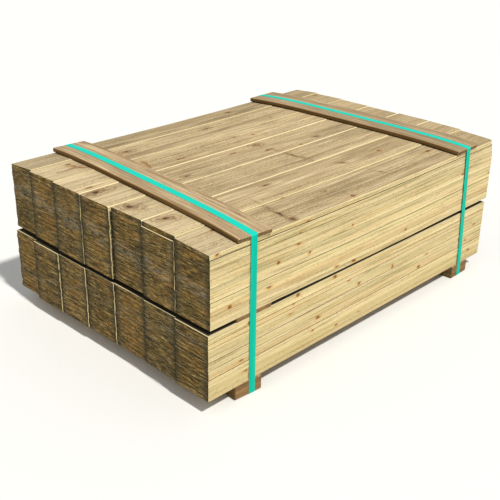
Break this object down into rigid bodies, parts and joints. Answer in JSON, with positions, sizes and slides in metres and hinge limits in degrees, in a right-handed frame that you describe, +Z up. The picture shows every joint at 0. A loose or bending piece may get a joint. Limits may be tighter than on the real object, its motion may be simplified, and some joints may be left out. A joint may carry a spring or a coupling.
{
  "type": "bundle of fence palings",
  "caption": "Strapped bundle of rough-sawn fence palings, stacked in two tiers on bearers, with spacer boards between the tiers and battens under the straps.",
  "frame": {"origin": "centre of the bundle's footprint, on the floor it stands on", "axes": "+X along the palings towards the far end, +Y across the stack towards the narrower column, +Z up"},
  "size_m": [1.521, 1.0504, 0.547],
  "materials": {
    "paling_timber": "rough sawn, treated, unpainted",
    "cross_timber": "rough sawn, weathered brown",
    "bearer_timber": "rough sawn, weathered brown",
    "strap_plastic": "satin strapping band"
  },
  "bodies": {
    "root": {"lower_tier_row_01": "paling_timber", "lower_tier_row_02": "paling_timber", "lower_tier_row_03": "paling_timber", "lower_tier_row_04": "paling_timber", "lower_tier_row_05": "paling_timber", "lower_tier_row_06": "paling_timber", "lower_tier_row_07": "paling_timber", "lower_tier_row_08": "paling_timber", "lower_tier_row_09": "paling_timber", "lower_tier_row_10": "paling_timber", "lower_tier_row_11": "paling_timber", "lower_tier_row_12": "paling_timber", "lower_tier_row_13": "paling_timber", "lower_tier_row_14": "paling_timber", "lower_tier_row_15": "paling_timber", "upper_tier_row_01": "paling_timber", "upper_tier_row_02": "paling_timber", "upper_tier_row_03": "paling_timber", "upper_tier_row_04": "paling_timber", "upper_tier_row_05": "paling_timber", "upper_tier_row_06": "paling_timber", "upper_tier_row_07": "paling_timber", "upper_tier_row_08": "paling_timber", "upper_tier_row_09": "paling_timber", "upper_tier_row_10": "paling_timber", "upper_tier_row_11": "paling_timber", "upper_tier_row_12": "paling_timber", "upper_tier_row_13": "paling_timber", "upper_tier_row_14": "paling_timber", "upper_tier_row_15": "paling_timber", "upper_tier_row_16": "paling_timber", "near_bearer": "bearer_timber", "far_bearer": "bearer_timber", "near_tier_spacer": "cross_timber", "far_tier_spacer": "cross_timber", "near_top_batten": "cross_timber", "far_top_batten": "cross_timber", "near_strap": "strap_plastic", "far_strap": "strap_plastic"}
  },
  "joints": []
}
